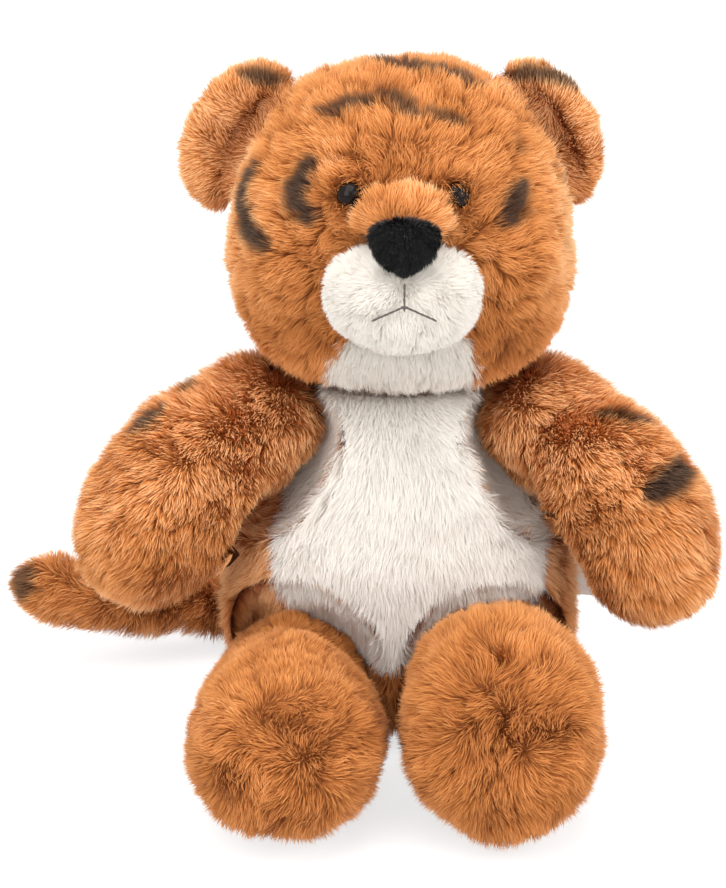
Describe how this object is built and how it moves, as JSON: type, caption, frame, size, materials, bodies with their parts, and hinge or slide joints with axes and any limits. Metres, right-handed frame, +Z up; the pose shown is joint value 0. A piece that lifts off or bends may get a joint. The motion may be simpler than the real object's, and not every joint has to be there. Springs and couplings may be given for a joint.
{
  "type": "plush tiger",
  "caption": "Seated plush tiger with a rounded head, dished ears, white muzzle and belly panel, soft swinging arms and legs and a curved tail.",
  "frame": {"origin": "on the floor under the middle of the torso's flat seat", "axes": "+Z up, the tiger faces -Y, and its own left side is at +X"},
  "size_m": [0.294, 0.2382, 0.2755],
  "materials": {
    "tan_pile": "long pile plush, matt",
    "white_pile": "long pile plush, matt",
    "black_pile": "short pile, matt",
    "black_bead": "gloss",
    "eye_fitting": "satin",
    "stuffing": "loose fibre filling",
    "pellet_cloth": "plain weave bag of pellets",
    "mouth_thread": "embroidery thread",
    "tab_ribbon": "woven ribbon"
  },
  "bodies": {
    "torso": {"torso_cover": "tan_pile", "belly_panel": "white_pile", "torso_stuffing": "stuffing", "pellet_pouch": "pellet_cloth", "side_seam_tab": "tab_ribbon"},
    "head": {"head_cover": "tan_pile", "head_stuffing": "stuffing", "throat_panel": "white_pile", "muzzle": "white_pile", "muzzle_bridge": "tan_pile", "nose": "black_pile", "mouth_stitching": "mouth_thread", "left_eye": "black_bead", "right_eye": "black_bead", "left_eye_washer": "eye_fitting", "right_eye_washer": "eye_fitting"},
    "left_ear": {"left_ear_back": "tan_pile", "left_ear_front": "tan_pile"},
    "right_ear": {"right_ear_back": "tan_pile", "right_ear_front": "tan_pile"},
    "left_arm": {"left_arm_cover": "tan_pile", "left_arm_stuffing": "stuffing"},
    "right_arm": {"right_arm_cover": "tan_pile", "right_arm_stuffing": "stuffing"},
    "left_leg": {"left_leg_cover": "tan_pile", "left_leg_stuffing": "stuffing", "left_sole": "tan_pile"},
    "right_leg": {"right_leg_cover": "tan_pile", "right_leg_stuffing": "stuffing", "right_sole": "tan_pile"},
    "tail": {"tail_cover": "tan_pile", "tail_stuffing": "stuffing"}
  },
  "joints": [
    {"name": "head_turn", "type": "hinge", "parent": "torso", "child": "head", "pos_m": [0, -0.004, 0.15], "axis": [0, 0, 1], "range_deg": [-25, 25], "stiffness_Nm_per_rad": 0.3},
    {"name": "left_ear_fold", "type": "hinge", "parent": "head", "child": "left_ear", "pos_m": [0.0525, 0.004, 0.236], "axis": [0.4226, 0, -0.9063], "range_deg": [-20, 25], "stiffness_Nm_per_rad": 0.02},
    {"name": "right_ear_fold", "type": "hinge", "parent": "head", "child": "right_ear", "pos_m": [-0.0525, 0.004, 0.236], "axis": [0.4226, 0, 0.9063], "range_deg": [-20, 25], "stiffness_Nm_per_rad": 0.02},
    {"name": "left_arm_swing", "type": "hinge", "parent": "torso", "child": "left_arm", "pos_m": [0.054, -0.013, 0.125], "axis": [-1, 0, 0], "range_deg": [-10, 70], "stiffness_Nm_per_rad": 0.3},
    {"name": "right_arm_swing", "type": "hinge", "parent": "torso", "child": "right_arm", "pos_m": [-0.054, -0.013, 0.125], "axis": [-1, 0, 0], "range_deg": [-10, 70], "stiffness_Nm_per_rad": 0.3},
    {"name": "left_leg_swing", "type": "hinge", "parent": "torso", "child": "left_leg", "pos_m": [0.037, -0.036, 0.033], "axis": [1, 0, 0], "range_deg": [-6, 40], "stiffness_Nm_per_rad": 0.4},
    {"name": "right_leg_swing", "type": "hinge", "parent": "torso", "child": "right_leg", "pos_m": [-0.043, -0.036, 0.033], "axis": [1, 0, 0], "range_deg": [-6, 40], "stiffness_Nm_per_rad": 0.4},
    {"name": "tail_wag", "type": "hinge", "parent": "torso", "child": "tail", "pos_m": [0, 0.052, 0.0165], "axis": [0, 0, 1], "range_deg": [-70, 0], "stiffness_Nm_per_rad": 0.03}
  ]
}
